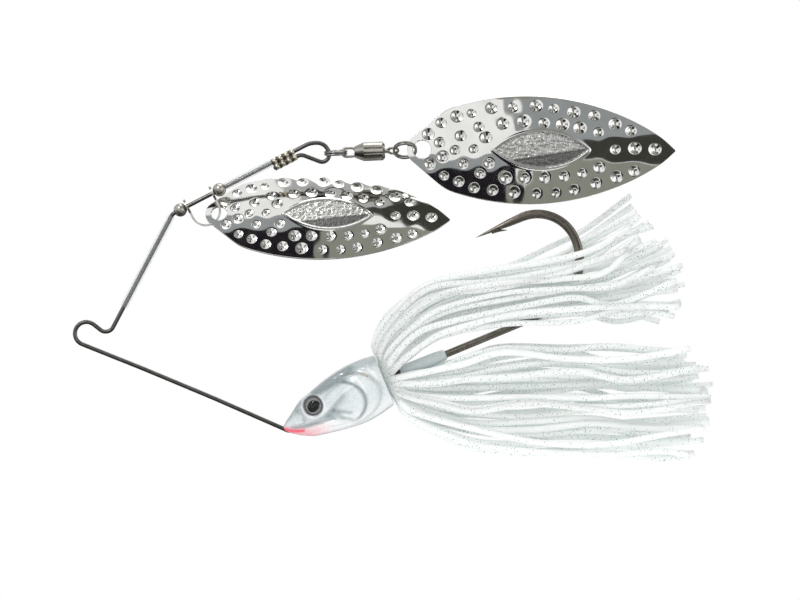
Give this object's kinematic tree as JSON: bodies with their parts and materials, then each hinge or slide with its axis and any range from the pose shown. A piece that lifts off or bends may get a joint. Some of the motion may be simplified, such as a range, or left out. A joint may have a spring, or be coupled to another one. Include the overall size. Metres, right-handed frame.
{
  "type": "spinnerbait fishing lure",
  "caption": "Fishing lure on a bent wire frame: a leaf blade on a clevis, another on a ball-bearing swivel, and a weighted fish head with a hook and a fringed skirt.",
  "frame": {"origin": "centre of the bend in the wire that takes the line", "axes": "+X from the line bend towards the tail, +Z towards the blades, Y across the lure; the wire frame lies in the plane Y = 0"},
  "size_m": [0.1339, 0.0144, 0.078],
  "materials": {
    "black_nickel_wire": "smooth black nickel",
    "clear_tube": "clear flexible plastic tube",
    "nickel_bead": "satin nickel",
    "nickel_plate": "bright nickel",
    "nickel_blade": "hammered bright nickel",
    "crimp_metal": "bright nickel with a slight brass tint",
    "ring_steel": "bright nickel",
    "swivel_metal": "bright nickel",
    "ball_steel": "plain steel",
    "pearl_paint": "gloss pearl white with a grey back",
    "eye_silver": "silver foil",
    "eye_dome": "clear dome over a dark pupil",
    "hook_steel": "black nickel",
    "black_rubber": "matt",
    "glitter_silicone": "translucent white with silver glitter"
  },
  "bodies": {
    "frame": {"frame_wire": "black_nickel_wire", "lower_tube": "clear_tube", "upper_tube": "clear_tube", "crimp_sleeve": "crimp_metal", "head_casting": "pearl_paint", "near_eye_disc": "eye_silver", "near_eye_dome": "eye_dome", "far_eye_disc": "eye_silver", "far_eye_dome": "eye_dome", "hook": "hook_steel", "skirt_collar": "black_rubber", "skirt_upper_near": "glitter_silicone", "skirt_upper_far": "glitter_silicone", "skirt_lower": "glitter_silicone"},
    "corner_bead": {"front_bead": "nickel_bead"},
    "clevis": {"clevis": "nickel_plate"},
    "front_blade": {"front_blade": "nickel_blade"},
    "back_bead": {"rear_bead": "nickel_bead"},
    "front_ring": {"front_split_ring": "ring_steel"},
    "swivel": {"swivel_barrel": "swivel_metal", "swivel_front_eye": "swivel_metal", "swivel_end_cap": "swivel_metal"},
    "bearing_balls": {"swivel_balls": "ball_steel"},
    "turning_eye": {"swivel_rear_eye": "swivel_metal"},
    "rear_ring": {"rear_split_ring": "ring_steel"},
    "rear_blade": {"rear_blade": "nickel_blade"}
  },
  "joints": [
    {"name": "front_bead_spin", "type": "hinge", "parent": "frame", "child": "corner_bead", "pos_m": [0.01995, 0, 0.02626], "axis": [0.8886, 0, 0.4587], "continuous": true},
    {"name": "clevis_spin", "type": "hinge", "parent": "frame", "child": "clevis", "pos_m": [0.0241, 0, 0.0284], "axis": [0.8886, 0, 0.4587], "continuous": true},
    {"name": "front_blade_swing", "type": "hinge", "parent": "clevis", "child": "front_blade", "pos_m": [0.0282, 0, 0.0255], "axis": [-0.0105, 0.866, -0.4999], "range_deg": [-45, 75]},
    {"name": "rear_bead_spin", "type": "hinge", "parent": "frame", "child": "back_bead", "pos_m": [0.02825, 0, 0.03054], "axis": [0.8886, 0, 0.4587], "continuous": true},
    {"name": "front_ring_swing", "type": "hinge", "parent": "frame", "child": "front_ring", "pos_m": [0.05153, 0, 0.03833], "axis": [-0.0401, 0, 0.9992], "range_deg": [-40, 40]},
    {"name": "swivel_swing", "type": "hinge", "parent": "front_ring", "child": "swivel", "pos_m": [0.05522, 0, 0.03848], "axis": [0, -1, 0], "range_deg": [-1, 70]},
    {"name": "swivel_spin", "type": "hinge", "parent": "swivel", "child": "turning_eye", "pos_m": [0.06203, 0, 0.03875], "axis": [0.9992, 0, 0.0401], "continuous": true},
    {"name": "ball_orbit", "type": "hinge", "parent": "swivel", "child": "bearing_balls", "pos_m": [0.06203, 0, 0.03875], "axis": [0.9992, 0, 0.0401], "continuous": true},
    {"name": "rear_ring_swing", "type": "hinge", "parent": "turning_eye", "child": "rear_ring", "pos_m": [0.06533, 0, 0.03888], "axis": [-0.0247, -0.788, 0.6152], "range_deg": [-1, 45]},
    {"name": "rear_blade_swing", "type": "hinge", "parent": "rear_ring", "child": "rear_blade", "pos_m": [0.07002, 0, 0.03907], "axis": [-0.0247, -0.788, 0.6152], "range_deg": [-1.5, 40]}
  ],
  "couplings": [
    {"joint": "ball_orbit", "follows": "swivel_spin", "ratio": 0.5}
  ]
}
